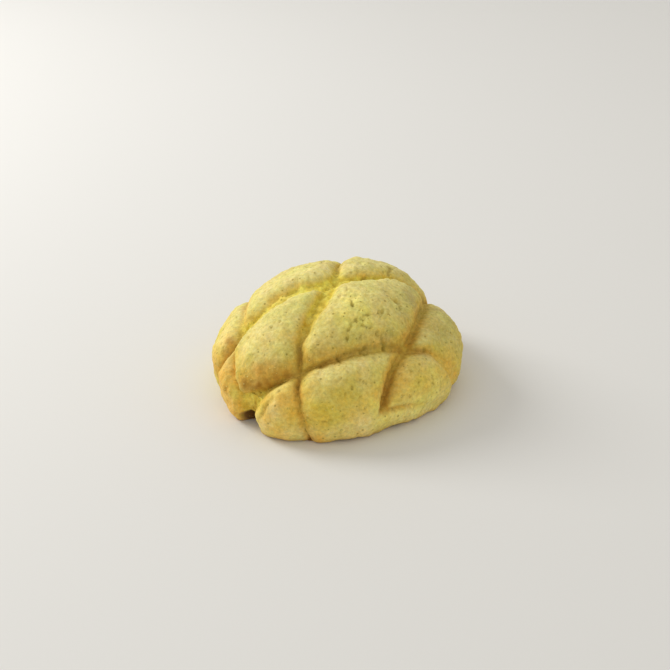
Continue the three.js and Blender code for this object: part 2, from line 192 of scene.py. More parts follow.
# Soft spots of the crust, by what they do to it. Each row: u, v, radius, strength
SPOTS = {
    # pillows baked to a warmer tone
    "toast": (
        (-40, -78, 18, .55), (-66, -40, 14, 1.3), (-72, -56, 18, 1.3), (-62, -14, 10, .5),
        (36, -58, 9, .7), (66, -31, 10, .2), (77, -29, 10, .5), (-6, -46, 9, .3), (4, -90, 16, .5),
        (60, -40, 9, .45), (-46, -50, 7, 1.1), (-38, -51, 8, 1.1), (-31, -53, 6, .5),
        (-26, -56.5, 6, .5), (21, -68, 5, .9), (36, -64, 6, .6), (54, -53, 7, .4),
        (40, -84, 12, .3), (-14, -90, 8, .9), (-68, -26, 8, .9), (50, -14, 8, .3), (20, 82, 18, .8),
        (-60, 60, 20, .8), (76, 30, 16, .7), (50, 62, 14, .6), (38, -52, 8, .6), (44, -48, 7, .5),
        (-26, -66, 9, 1.1), (-25, -73, 8, 1.0), (-39, -70, 8, .7), (-41, -75, 8, .3),
        (-14, -57, 6, .6), (2, -55.5, 6, .3), (12, -53, 6, .3), (22, -50, 6, .3),
        (-74, -20, 8, 1.2), (-63, -32, 8, 1.0), (-58, -22, 5, .9), (-60, -46, 7, 1.2),
        (-50, -47.6, 4.5, 1.1), (-36, -62.5, 6, 1.0), (-12, -62, 8, .5), (-24, -36, 6, .3),
    ),
    # undersides and flanks of pillows, browned above a wide floor and darkened with painted shade,
    # also at the edge of the notch
    "baked": (
        (-50.4, -48.6, 4, .5), (-48.6, -51.2, 5, 1.1), (-45.6, -53, 5.5, 1.3),
        (-41.6, -54.8, 6, 1.3), (-37, -55.8, 6, 1.1), (-31.4, -54.8, 5.5, .9), (-26, -54.4, 5, .9),
        (-13.5, -51.5, 5.5, .45), (-46, -47, 8, .4), (-37, -50.5, 8, .6), (-29, -50.5, 7, .4),
        (-61, -43, 7, .3), (-24.5, -50.5, 5, .4), (-3, -52, 4, .3), (-19, -56, 4, .3),
        (-8, -50.5, 5, .2), (1, -49.5, 5, .1), (29.6, -42.9, 5.5, .35), (35.8, -38.3, 5, .45),
        (36.2, -33, 5, .4), (39, -26, 5, .4), (42, -18, 4.5, .3), (43.5, -10, 4.5, .25),
        (-62, -24, 5, .9), (-58.6, -19, 4, .7), (-70, -31, 4, .5), (31, -50, 4.5, .25),
        (29.5, -57, 4.5, .3), (27.5, -65, 4, .3), (25.5, -89, 2, 1.0), (-72, -22, 8, .4),
        (-56.4, -62.6, 4, 1.2), (-52.6, -63, 3.5, 1.0), (-57.2, -45.5, 4, .3),
    ),
    # paler pillows and hems, partly painted light on lit rims and lips
    "pale": (
        (6, -24, 11, .6), (14, -30, 9, .5), (-42, -34, 8, .5), (-29, -60.6, 5, .8),
        (-33, -68, 9, .8), (-8, -58, 7, .7), (2, -55.5, 7, .7), (12, -53, 7, .7), (22, -50, 7, .5),
        (-30, -83, 8, .6), (-36, -43, 8, .3), (-64, -52, 6, .4), (-12.3, -.9, 9, .7),
        (-2, 5.8, 7, .8), (9, 9, 9, .4), (16.5, 11.6, 6, .4), (-22, -2.7, 7, .4), (-46, 1, 8, .4),
        (-51, -3, 8, .6), (-63, -10, 8, .8), (-51, -1, 7, .6), (-37, 4, 8, .5), (-35, -31, 9, .4),
        (-44.7, -73.2, 7, .9), (-40, -73, 6, .6), (-20, -85, 8, .7), (-5, -87, 9, .6),
        (6, -86, 9, .8), (16, -84, 9, 1.0), (28, -80, 7, .6), (41, -75, 8, .9), (52, -68, 9, .8),
        (62, -59, 10, .7), (68, -50, 7, .4), (74, -35, 8, .4), (-20, 60, 16, .6), (40, 40, 14, .5),
        (-60, 20, 14, .5), (10, 78, 14, .6), (-50, 84, 16, .7), (80, 46, 14, .6),
    ),
    # brighter, deeper yellow, partly painted light that lifts shaded valleys and dents
    "sunny": (
        (7, -25, 10, .6), (12, -34, 8, .8), (3.6, -32, 8, .6), (13, -30, 6, .8), (24, -70, 8, .6),
        (30, -78, 8, .7), (40, -72, 8, .7), (52, -63, 8, .9), (60, -53, 8, .6), (-24, -62, 8, .5),
        (-26, -70, 8, .4), (-18, -9, 6, .6), (56, -46, 8, .4), (-57.5, -51, 6, .8),
        (-55.7, -57, 5, .7), (-42.5, -64.5, 5, .5), (-58, -54, 6, .5), (-30, 50, 16, .5),
        (50, 40, 14, .4), (-70, 30, 12, .4),
    ),
    # darker, duller pillows: a duller tone and painted shade on the right side, the back right edge
    # and the lower flanks
    "dull_and_shade": (
        (56, -16, 14, .7), (55, 5, 9, .8), (62, -1, 12, .6), (38, -6, 9, .8), (8, -45.5, 8, .45),
        (35, -22, 8, .5), (-38, -45, 9, .5), (-31, -47, 8, .4), (39, 4, 7, .5), (32, 23.6, 7, .4),
        (57, -26, 9, .5), (65, -30, 8, .4), (-20, -82, 6, .8), (-7, -47, 6, .6), (13, -43, 7, .7),
        (-24, -3, 7, .4), (-34, -2, 7, .4), (-1, 14, 6, .4), (28, -38, 6, .8),
        (-18.6, -43.5, 4, .5), (47, 0, 8, .7), (46, -8, 7, .8), (44, 17, 9, .6), (50, 24, 10, .7),
        (38, 24, 8, .5), (66, -14, 12, .5), (-50, -26, 7, .35), (-46, -21, 6, .3), (46, -36, 5, .4),
        (1, -45.5, 7, .35), (16, -43, 9, .5), (26, -40, 8, .4), (-4, -46, 7, .4), (36, 13, 8, .4),
        (41, 9, 8, .5), (36, -10, 7, .6), (40, -11, 6, .7), (-1, -68, 9, .35), (7, -66, 9, .35),
        (-46, 30, 12, .4), (20, 62, 12, .4),
    ),
    # deep golden spots
    "golden": (
        (-9, -78, 9, .8), (0, -76, 9, .6), (3, -70, 9, .7), (6, -66, 8, .4), (-17, -80, 6, .6),
        (66, -34, 8, .6), (62, -27, 7, .5), (-58, -58, 5, .6), (-66, -62, 6, .6), (-39, -64, 5, .8),
        (-19, -80, 4, 1.0), (44, -55, 9, .4), (-61, -45, 5, .5),
    ),
    # spots beside the notch, crumbly as the wide floors are
    "craggy": (
        (-59, -49, 7, 1.3), (-58, -55, 6, 1.1), (-63, -53, 6, .9), (-50, -60, 6, 1.0),
        (-59, -45, 5, .8), (-42, -63, 5, .8),
    ),
}

# How much of its radius a spot or swell fills, and the spots that all the underside has
SPOT_SHARE = 0.7
BAKED_BELOW = ("toast", "baked")

# Grid of the finished mesh: squares across it, rings of its underside as shares of the edge,
# how strongly and how far off it is drawn to a score line, and how near the edge no longer
CRUST_SQUARES = 268
UNDERSIDE_RINGS = (.992, .975, .94, .88, .76, .58, .38, .18)
PULL = 0.5
PULL_WIDTH = 5.0
PULL_STEPS = 30
RIM_WIDTH = 10.0

# How far the crust stays inside the box of the solid that it stands for
BOX_MARGIN = 0.25

# Defaults of the sizes that can be changed, m
# how far the brown beside a score line reaches, which is partly painted shade
BROWN_AND_SHADE_REACH = 0.0017
RAGGEDNESS = 0.0007
LUMP_HEIGHT = 0.0009
SAND_HEIGHT = 0.0006
PIT_DENSITY = 12000.0
CRUMB_DENSITY = 36000.0
CRUMB_SIZE = 0.00038
SEED = 4

# Relief of the crust and its crumbs, m
WIDE_FLOOR = 0.0026
LINE_WANDER = 0.006
CRACK_WANDER = 0.0035
CRACKLE_PATCH = 0.016
PIT_STEEPNESS = 0.6
UNDERSIDE_DENTS = 0.005
UNDERSIDE_DEPTH = 0.0006
LOWEST_CRUMB = 0.0015
CRUMB_SUBDIVISIONS = 1
FLATTEST_CRUMB = (0.7, 0.7, 0.45)
ROUNDEST_CRUMB = (1.2, 1.2, 0.9)

# Finish of the crust: sizes in m, and the factors between which its grain varies the colour
PATCH_SIZE = 0.007
BROAD_SIZE = 0.009
UNDERSIDE_BLOTCH = 0.012
FOOT_LOW, FOOT_HIGH = 0.0004, 0.0035
GRAIN_SHADES = ((0.66, 0.64, 0.5), (1.3, 1.3, 1.34))
GRAIN_TINTS = ((1.05, 0.985, 0.84), (0.97, 1.01, 1.14))
BROAD_TINTS = ((1.03, 0.98, 1.04), (0.975, 1.005, 0.92))


# ---------------------------------------------------------------- the crust's lie, in mm

def dome_profile(angle):
    """Share of the radius and height of the dome's outline, at angles counted from the top."""
    up = np.minimum(angle, math.pi / 2)
    down = np.maximum(angle - math.pi / 2, 0) * (math.pi / 2) / (GROUND_ANGLE - math.pi / 2)
    share = np.where(
        angle <= math.pi / 2,
        np.sin(up) ** SHOULDER_POWER,
        1 - TUCK / RADIUS * (1 - np.cos(down)))
    rise = np.maximum(np.cos(up), 0) ** CROWN_POWER
    height = np.where(
        angle <= math.pi / 2,
        WAIST_HEIGHT + (HEIGHT - WAIST_HEIGHT) * rise,
        WAIST_HEIGHT * (1 - np.sin(down)))
    return share, height


def profile_ways():
    """Way along the profile from the top, at equal steps of the angle."""
    angles = np.linspace(0, GROUND_ANGLE, PROFILE_STEPS + 1)
    share, height = dome_profile(angles)
    steps = np.hypot(RADIUS * np.diff(share), np.diff(height))
    return angles, np.concatenate([[0], np.cumsum(steps)])


ANGLES, WAYS = profile_ways()
CRUST_RADIUS = WAYS[-1]


def drape(flat):
    """Lays points of the flat crust on the plain dome."""
    turn = np.arctan2(flat[:, 1], flat[:, 0])
    angle = np.interp(np.hypot(flat[:, 0], flat[:, 1]), WAYS, ANGLES)
    share, height = dome_profile(angle)
    waves = sum(c * np.cos(k * turn) + s * np.sin(k * turn) for k, c, s in OUTLINE_WAVES)
    reach = RADIUS * (1 + waves) * share
    return np.stack([reach * np.cos(turn), reach * np.sin(turn), height], axis=1)


def outward(flat):
    """Which way relief moves a point: square to the crown, and level on the side."""
    way = np.maximum(np.hypot(flat[:, 0], flat[:, 1]), 1e-6)
    inner = flat * np.minimum(1, (CRUST_RADIUS - EDGE_MARGIN) / way)[:, None]
    right, back = np.array([SLOPE_STEP, 0]), np.array([0, SLOPE_STEP])
    out = np.cross(
        drape(inner + right) - drape(inner - right),
        drape(inner + back) - drape(inner - back))
    out[:, 2] = np.maximum(out[:, 2], 0)
    return out / np.linalg.norm(out, axis=1)[:, None]


def smooth_way(rows, steps):
    """A smooth line through rows of numbers, with that many steps from row to row."""
    rows = np.array(rows, float)
    padded = np.vstack([2 * rows[0] - rows[1], rows, 2 * rows[-1] - rows[-2]])
    t = np.linspace(0, 1, steps, endpoint=False)[:, None]
    parts = []
    for before, start, end, after in zip(padded, padded[1:], padded[2:], padded[3:]):
        bend = 2 * before - 5 * start + 4 * end - after
        twist = 3 * start - before - 3 * end + after
        parts.append(0.5 * (2 * start + (end - before) * t + bend * t ** 2 + twist * t ** 3))
    return np.vstack([*parts, rows[-1:]])


def bell(points, u, v, radius):
    """Soft bell round one spot of the crust, from 1 at its middle down to nothing."""
    middle = drape(np.array([[u, v]], float))[0]
    spread = np.linalg.norm(points - middle, axis=1) / (SPOT_SHARE * radius)
    return np.exp(-spread ** 2)


def swells(points):
    """Height of the broad swells, of the gentle waves and of the lobes at the foot."""
    height = sum(rise * bell(points, u, v, radius) for u, v, radius, rise in SWELLS)
    x, y, z = points.T
    for length, rise, phase in UNEVENNESS:
        k = 2 * math.pi / length
        wave = np.sin(k * x + phase) * np.sin(k * y + 2 * phase)
        height += rise * wave * np.cos(k * z + 3 * phase)
    low = np.maximum(0, 1 - z / EDGE_LOBE_HEIGHT)
    turn = np.arctan2(y, x)
    for count, depth, phase in EDGE_LOBES:
        height += low * depth * (np.sin(count * turn + phase) - 1)
    return height


def spots(points, rows):
    """Strength of the strongest soft spot at each point."""
    shares = [strength * bell(points, u, v, radius) for u, v, radius, strength in rows]
    return np.max(shares, axis=0)


def notch(points):
    """Depth of the open notch and of the narrow gaps under the crust's lifted edge."""
    turn = np.arctan2(points[:, 1], points[:, 0])
    deepest = np.zeros(len(points))
    for middle, half_turn, height, depth in NOTCHES:
        off = turn - math.radians(middle)
        off = np.arctan2(np.sin(off), np.cos(off)) / math.radians(half_turn)
        soft = min(1.0, height / 2)
        arch = height * (1 - NOTCH_ARCH * np.minimum(off ** 2, 1))
        part = np.clip((points[:, 2] - arch + soft) / (2 * soft), 0, 1)
        under = 1 - part ** 2 * (3 - 2 * part)
        deepest = np.maximum(deepest, depth * under * np.exp(-off ** 4))
    return deepest


# ---------------------------------------------------------------- plain meshes to start from

def disc_grid(squares):
    """Square grid laid on the unit disc ring by ring, so that no pole is left."""
    a, b = np.meshgrid(*[np.linspace(-1, 1, squares + 1)] * 2, indexing="ij")
    sideways = np.abs(a) > np.abs(b)
    reach = np.where(sideways, a, b)
    ratio = np.where(sideways, b, a) / np.where(reach == 0, 1, reach)
    turn = np.where(sideways, math.pi / 4 * ratio, math.pi / 2 - math.pi / 4 * ratio)
    points = np.stack([reach * np.cos(turn), reach * np.sin(turn)], axis=-1)
    corner = np.arange((squares + 1) ** 2).reshape(squares + 1, squares + 1)
    faces = np.stack(
        [corner[:-1, :-1], corner[1:, :-1], corner[1:, 1:], corner[:-1, 1:]], axis=-1)
    edge = np.concatenate([corner[:-1, 0], corner[-1, :-1], corner[:0:-1, -1], corner[0, :0:-1]])
    return points.reshape(-1, 2), faces.reshape(-1, 4), edge


def drawn_to_lines(flat):
    """Draws grid points beside a score line closer to its floor, so that it comes out sharp."""
    rim = np.clip((CRUST_RADIUS - np.hypot(*flat.T)) / RIM_WIDTH, 0, 1)[:, None]
    drawn = flat.copy()
    for rows in SCORE_LINES.values():
        way = smooth_way(rows, PULL_STEPS)
        tree = KDTree(len(way))
        for i, (u, v) in enumerate(way[:, :2]):
            tree.insert((u, v, 0), i)
        tree.balance()
        found = [tree.find((u, v, 0)) for u, v in flat]
        nearest = np.array([i for _, i, _ in found])
        distance = np.array([d for _, _, d in found])
        beside = distance - way[nearest, 4]
        pull = PULL * rim[:, 0] * np.clip(1 - beside / PULL_WIDTH, 0, 1) ** 2
        pull *= np.maximum(beside, 0) / np.maximum(distance, 1e-6)
        drawn += (way[nearest, :2] - flat) * pull[:, None]
    return drawn


def set_attribute(mesh, name, kind, values):
    """Stores one value for each point of a mesh."""
    field = "vector" if kind == "FLOAT_VECTOR" else "value"
    made = mesh.attributes.new(name, kind, "POINT")
    made.data.foreach_set(field, np.ascontiguousarray(values).ravel())


def mesh_object(name, points, edges=(), faces=()):
    """A new object in the scene with a mesh of these points, given in mm."""
    mesh = bpy.data.meshes.new(name)
    mesh.from_pydata((points * MM).tolist(), list(edges), list(faces))
    made = bpy.data.objects.new(name, mesh)
    bpy.context.scene.collection.objects.link(made)
    return made


def plain_dome():
    """The dome before its relief, closed underneath, with what the relief needs on its points."""
    disc, squares, edge = disc_grid(CRUST_SQUARES)
    flat = drawn_to_lines(disc * CRUST_RADIUS)
    points = drape(flat)
    out = outward(flat)
    rise = swells(points) - notch(points)

    # rings of the flat underside, from the edge in to the middle
    rim = (points + out * rise[:, None])[edge]
    rim[:, 2] = 0
    rings = [rim * share for share in UNDERSIDE_RINGS] + [np.zeros((1, 3))]
    count, start = len(edge), len(points)
    faces = [tuple(face) for face in squares.tolist()]
    last = edge
    for k in range(len(UNDERSIDE_RINGS)):
        ring = start + k * count + np.arange(count)
        after = np.roll(np.arange(count), -1)
        faces += np.stack([last[after], last, ring, ring[after]], axis=1).tolist()
        last = ring
    middle = start + len(UNDERSIDE_RINGS) * count
    faces += np.stack([last[after], last, np.full(count, middle)], axis=1).tolist()

    under = np.vstack(rings)
    dome = mesh_object("plain_dome", np.vstack([points, under]), faces=faces)
    down = np.tile([0.0, 0.0, -1.0], (len(under), 1))
    # where the open notch goes in, which the finish paints dark with shade
    notch_shade = np.clip((notch(points) - 0.8) / 3, 0, 1)
    relief = {
        "rise": (rise * MM, 0), "notch_shade": (notch_shade, 1), "underside": (np.zeros(len(points)), 1)}
    for name, rows in SPOTS.items():
        relief[name] = (spots(points, rows), name in BAKED_BELOW)
    set_attribute(dome.data, "outward", "FLOAT_VECTOR", np.vstack([out, down]))
    for name, (above, below) in relief.items():
        values = np.concatenate([above, np.full(len(under), float(below))])
        set_attribute(dome.data, name, "FLOAT", values)
    return dome


def drawn_lines(name, lines, steps):
    """Lines draped over the dome as chains of edges, with their number and sizes on the points.

    A line's rows hold u, v, depth, shoulder, floor and browning.
    """
    points, edges, numbers, sizes, browning = [], [], [], [], []
    for number, rows in enumerate(lines):
        way = smooth_way(rows, steps)
        first = sum(map(len, points))
        points.append(drape(way[:, :2]))
        edges += [(first + i, first + i + 1) for i in range(len(way) - 1)]
        numbers += [number] * len(way)
        sizes.append(np.maximum(way[:, 2:5], 0) * MM)
        browning.append(np.clip(way[:, 5], 0, 1))
    made = mesh_object(name, np.vstack(points), edges=edges)
    set_attribute(made.data, "number", "INT", np.array(numbers, np.int32))
    set_attribute(made.data, "sizes", "FLOAT_VECTOR", np.vstack(sizes))
    set_attribute(made.data, "browning", "FLOAT", np.concatenate(browning))
    return made


def drawn_pits():
    """Single points on the dome with their radius."""
    pits = np.array(PITS, float)
    made = mesh_object("pits", drape(pits[:, :2]))
    set_attribute(made.data, "pit_radius", "FLOAT", pits[:, 2] * MM)
    return made


# ---------------------------------------------------------------- node trees

def plug(tree, value, socket):
    """Links or sets one input; None leaves it as it is."""
    if isinstance(value, bpy.types.Node):
        value = next(out for out in value.outputs if out.enabled)
    if isinstance(value, bpy.types.NodeSocket):
        tree.links.new(value, socket)
    elif value is not None:
        socket.default_value = value


def add(tree, kind, *values, named=None, **settings):
    """A new node with its settings, its first open inputs in order, and inputs by name."""
    node = tree.nodes.new(kind)
    for name, value in settings.items():
        setattr(node, name, value)
    sockets = [socket for socket in node.inputs if socket.enabled]
    for value, socket in zip(values, sockets):
        plug(tree, value, socket)
    for name, value in (named or {}).items():
        plug(tree, value, next(socket for socket in sockets if socket.name == name))
    return node


def maths(tree, operation, *values, clamp=False):
    return add(tree, "ShaderNodeMath", *values, operation=operation, use_clamp=clamp)


def times(tree, first, *others):
    for value in others:
        first = maths(tree, "MULTIPLY", first, value)
    return first


def plus(tree, first, *others):
    for value in others:
        first = maths(tree, "ADD", first, value)
    return first


def minus(tree, first, second):
    return maths(tree, "SUBTRACT", first, second)


def over(tree, first, second, clamp=False):
    return maths(tree, "DIVIDE", first, second, clamp=clamp)


def larger(tree, first, second):
    return maths(tree, "MAXIMUM", first, second)


def rest(tree, share):
    """What a share leaves of one."""
    return maths(tree, "SUBTRACT", 1.0, share)


def vectors(tree, operation, *values):
    return add(tree, "ShaderNodeVectorMath", *values, operation=operation)


def scaled(tree, vector, factor):
    return add(tree, "ShaderNodeVectorMath", vector, operation="SCALE", named={"Scale": factor})


def map_range(tree, value, low, high, to_low=0.0, to_high=1.0, smooth=False):
    kind = "SMOOTHSTEP" if smooth else "LINEAR"
    return add(
        tree, "ShaderNodeMapRange", value, low, high, to_low, to_high, interpolation_type=kind)


def noise(tree, place, size, detail=2.0, roughness=0.5):
    """Noise with features of about that size in metres, from 0 to 1."""
    scale = 1 / size if isinstance(size, float) else over(tree, 1.0, size)
    return add(tree, "ShaderNodeTexNoise", named={
        "Vector": place, "Scale": scale, "Detail": detail, "Roughness": roughness})


def cells(tree, place, size, feature="F1", **more):
    """Cells of about that size in metres."""
    return add(tree, "ShaderNodeTexVoronoi", feature=feature, named={
        "Vector": place, "Scale": over(tree, 1.0, size), **more})


def ripple(tree, height, place, size, detail):
    """Relief of that height, up and down about nought, with features of that size."""
    return times(tree, height, minus(tree, noise(tree, place, size, detail), 0.5))


def wander(tree, place, size, detail, reach):
    """A place shaken by noise, no further than half the reach each way."""
    shake = vectors(
        tree, "SUBTRACT", noise(tree, place, size, detail).outputs["Color"], (0.5, 0.5, 0.5))
    return scaled(tree, shake, reach)


def read(tree, name, kind="FLOAT"):
    return add(tree, "GeometryNodeInputNamedAttribute", name, data_type=kind)


def store(tree, geometry, name, value):
    return add(
        tree, "GeometryNodeStoreNamedAttribute", geometry, data_type="FLOAT",
        named={"Name": name, "Value": value})


def sampled(tree, source, name, index, kind="FLOAT"):
    """The named value at one point of another geometry."""
    return add(tree, "GeometryNodeSampleIndex", source, read(tree, name, kind), index,
               data_type=kind, domain="POINT")


def near(tree, source, place, element):
    """Distance to another geometry, and the index of its nearest point."""
    distance = add(tree, "GeometryNodeProximity", source, target_element=element,
                   named={"Sample Position": place}).outputs["Distance"]
    return distance, add(tree, "GeometryNodeSampleNearest", source, place, domain="POINT")


def geometry_of(tree, thing):
    return add(tree, "GeometryNodeObjectInfo", thing).outputs["Geometry"]


def scatter(tree, surface, where, density, seed):
    return add(tree, "GeometryNodeDistributePointsOnFaces", surface,
               named={"Selection": where, "Density": density, "Seed": seed})


def between(tree, low, high, seed, kind="FLOAT"):
    """A random value for each point, from low to high."""
    return add(tree, "FunctionNodeRandomValue", data_type=kind,
               named={"Min": low, "Max": high, "Seed": seed})


def finished(tree, geometry, material, end):
    """Ends a tree with plain geometry of one material."""
    plain = add(tree, "GeometryNodeRealizeInstances", geometry)
    plain = add(tree, "GeometryNodeSetMaterial", plain, named={"Material": material})
    plug(tree, plain, end.inputs["Geometry"])
    arrange(tree)


def arrange(tree):
    """Sets the nodes out in columns by how far they are from the tree's end."""
    column_width, row_height = 220, 190
    depth = {node.name: 0 for node in tree.nodes}
    for _ in range(len(tree.nodes)):
        moved = False
        for link in tree.links:
            wanted = depth[link.to_node.name] + 1
            if depth[link.from_node.name] < wanted <= len(tree.nodes):
                depth[link.from_node.name] = wanted
                moved = True
        if not moved:
            break
    rows = {}
    for node in tree.nodes:
        column = depth[node.name]
        rows[column] = rows.get(column, 0) + 1
        node.location = (-column * column_width, -rows[column] * row_height)


def new_tree(name, kind, inputs, outputs):
    """A node tree with its sockets; an input is (name, type, default, least, subtype)."""
    tree = bpy.data.node_groups.new(name, kind)
    for title, sort, *more in inputs:
        socket = tree.interface.new_socket(title, in_out="INPUT", socket_type=sort)
        for field, value in zip(("default_value", "min_value", "subtype"), more):
            setattr(socket, field, value)
    for title, sort in outputs:
        tree.interface.new_socket(title, in_out="OUTPUT", socket_type=sort)
    start = tree.nodes.new("NodeGroupInput")
    end = tree.nodes.new("NodeGroupOutput")
    return tree, start.outputs, end


def length_input(title, default):
    """A tree's input that is a length in metres."""
    return title, "NodeSocketFloat", default, 0.0, "DISTANCE"


def for_each_line(tree, geometry, lines, count, place, carve):
    """Repeats carve(geometry, distance, sizes, browning) for every drawn line."""
    start = tree.nodes.new("GeometryNodeRepeatInput")
    end = tree.nodes.new("GeometryNodeRepeatOutput")
    start.pair_with_output(end)
    plug(tree, count, start.inputs["Iterations"])
    plug(tree, geometry, start.inputs["Geometry"])
    same = add(tree, "FunctionNodeCompare", read(tree, "number", "INT"),
               start.outputs["Iteration"], data_type="INT", operation="EQUAL")
    line = add(tree, "GeometryNodeSeparateGeometry", lines, same, domain="POINT")
    distance, nearest = near(tree, line, place, "EDGES")
    sizes = add(tree, "ShaderNodeSeparateXYZ", sampled(
        tree, line, "sizes", nearest, "FLOAT_VECTOR"))
    browning = sampled(tree, line, "browning", nearest)
    carved = carve(start.outputs["Geometry"], distance, sizes, browning)
    plug(tree, carved, end.inputs["Geometry"])
    return end.outputs["Geometry"]


def carve_score_line(tree, deepest, brown_reach):
    """Pillow share and browning beside one score line, multiplied into what is there;
    the browning is partly painted shade in the crease.
    """
    def carve(geometry, distance, sizes, browning):
        depth, shoulder, floor = sizes.outputs
        beside = larger(tree, minus(tree, distance, floor), 0.0)
        away = over(tree, beside, shoulder, clamp=True)
        short = maths(tree, "POWER", rest(tree, away), 2.0)
        rise = maths(tree, "POWER", rest(tree, short), STEEPNESS)
        sunk = times(tree, over(tree, depth, deepest), rest(tree, rise))
        pillow = times(tree, read(tree, "pillow"), rest(tree, sunk))
        reach = maths(tree, "POWER", over(tree, beside, brown_reach), 2.0)
        fall = maths(tree, "EXPONENT", times(tree, -1.0, reach))
        brown = larger(tree, read(tree, "brown"), times(tree, fall, browning))
        wide = times(tree, rest(tree, away), over(tree, floor, WIDE_FLOOR, clamp=True))
        wide = larger(tree, read(tree, "wide"), wide)
        for name, value in (("pillow", pillow), ("brown", brown), ("wide", wide)):
            geometry = store(tree, geometry, name, value)
        return geometry
    return carve


def carve_crack(tree, gaps):
    """Depth of one crack, broken by gaps and kept where it is the deepest so far."""
    def carve(geometry, distance, sizes, browning):
        depth, width, _ = sizes.outputs
        share = map_range(tree, over(tree, distance, width), 0.0, 1.0, 1.0, 0.0, True)
        crack = times(tree, depth, times(tree, share, gaps))
        return store(tree, geometry, "crack", larger(tree, read(tree, "crack"), crack))
    return carve


def pitted(tree, given, place, top):
    """How far inside a pit each place is, and the pit's depth there."""
    scattered = scatter(tree, given["Geometry"], top, given["Pit density"], given["Seed"])
    radius = between(tree, given["Smallest pit"], given["Largest pit"], given["Seed"])
    scattered = store(tree, scattered.outputs["Points"], "pit_radius", radius)
    single = add(tree, "GeometryNodeMeshToPoints", geometry_of(tree, given["Pits"]))
    pits = add(tree, "GeometryNodeJoinGeometry")
    for points in (scattered, single):
        tree.links.new(points.outputs[0], pits.inputs[0])
    distance, nearest = near(tree, pits, place, "POINTS")
    radius = sampled(tree, pits, "pit_radius", nearest)
    pit = map_range(tree, over(tree, distance, radius), 0.25, 1.0, 1.0, 0.0, True)
    return pit, times(tree, pit, radius, PIT_STEEPNESS)


def crumbled(tree, given, place, shaken):
    """Grits of the crumbly floors, from nought to about one."""
    grits = cells(tree, shaken, given["Crumble size"], "SMOOTH_F1", Smoothness=0.7)
    grits = map_range(tree, grits.outputs["Distance"], 0.15, 0.75, 1.0, 0.0)
    return times(tree, grits, map_range(
        tree, noise(tree, place, given["Crumble size"], 2.0), 0.35, 0.65, 0.3, 1.2))


